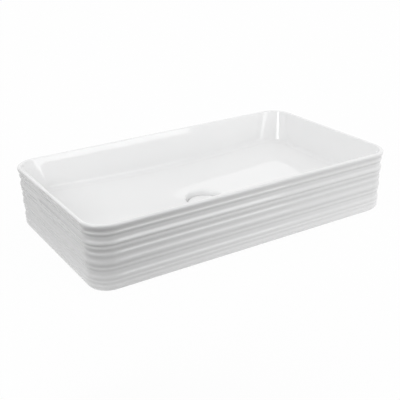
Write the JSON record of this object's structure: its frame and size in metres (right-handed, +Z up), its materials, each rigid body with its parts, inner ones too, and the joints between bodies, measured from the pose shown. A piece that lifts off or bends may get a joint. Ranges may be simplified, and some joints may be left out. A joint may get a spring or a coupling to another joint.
{
  "type": "countertop basin",
  "caption": "Rectangular white ceramic countertop basin with a rippled outer wall, rounded corners and a sunk central drain, shut by a push waste with a ceramic cap.",
  "frame": {"origin": "middle of the foot ring, on the counter's top face", "axes": "+X along the long side, +Y to the back, +Z up out of the bowl; the waste's axis is Z"},
  "size_m": [0.6, 0.347, 0.168],
  "materials": {
    "white_glaze": "gloss white glaze",
    "plated_brass": "polished chrome plate on brass",
    "plain_brass": "turned brass",
    "black_rubber": "moulded rubber",
    "grey_rubber": "moulded silicone rubber",
    "white_plastic": "moulded acetal",
    "spring_steel": "drawn stainless wire"
  },
  "bodies": {
    "basin": {"basin_body": "white_glaze", "flange_gasket": "grey_rubber", "waste_body": "plated_brass", "lower_gasket": "black_rubber", "slip_washer": "white_plastic", "back_nut": "plain_brass", "cartridge_sleeve": "plain_brass", "guide_cap": "plain_brass", "cam_ring": "white_plastic", "end_plug": "plain_brass", "cartridge_spring": "spring_steel"},
    "plug": {"plug_cap": "white_glaze", "plug_seal": "black_rubber", "cap_carrier": "plated_brass", "stem_lock_nut": "plain_brass", "plunger": "plain_brass"},
    "rotor": {"ratchet_rotor": "white_plastic"}
  },
  "joints": [
    {"name": "plug_slide", "type": "slide", "parent": "basin", "child": "plug", "axis": [0, 0, 1], "range_m": [0, 0.009], "deforming": ["cartridge_spring"]},
    {"name": "rotor_turn", "type": "hinge", "parent": "plug", "child": "rotor", "pos_m": [0, 0, -0.0146], "axis": [0, 0, 1], "range_deg": [0, 45]}
  ],
  "couplings": [
    {"joint": "rotor_turn", "follows": "plug_slide", "rad_per_m": 87.2}
  ]
}
